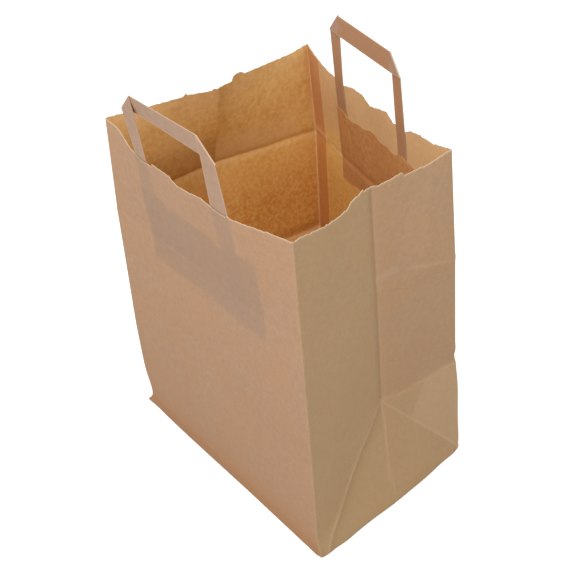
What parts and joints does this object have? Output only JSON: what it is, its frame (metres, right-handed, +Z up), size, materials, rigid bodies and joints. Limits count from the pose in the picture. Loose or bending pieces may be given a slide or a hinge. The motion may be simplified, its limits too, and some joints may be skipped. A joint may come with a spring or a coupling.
{
  "type": "paper carrier bag",
  "caption": "Open brown paper carrier bag with a block bottom, gusseted ends, a torn mouth and two flat paper tape handles.",
  "frame": {"origin": "middle of the bottom, on the face that the bag stands on", "axes": "+Z up through the open mouth, +X along the broad faces towards the right gusset as seen from the front, +Y from the front face to the back face"},
  "size_m": [0.2531, 0.2287, 0.3563],
  "materials": {
    "kraft_sheet": "matte, faintly fibrous kraft paper",
    "handle_tape": "matte folded kraft tape",
    "patch_paper": "matte kraft paper"
  },
  "bodies": {
    "root": {"bag_body": "kraft_sheet", "front_handle": "handle_tape", "front_handle_patch": "patch_paper", "back_handle": "handle_tape", "back_handle_patch": "patch_paper"}
  },
  "joints": []
}
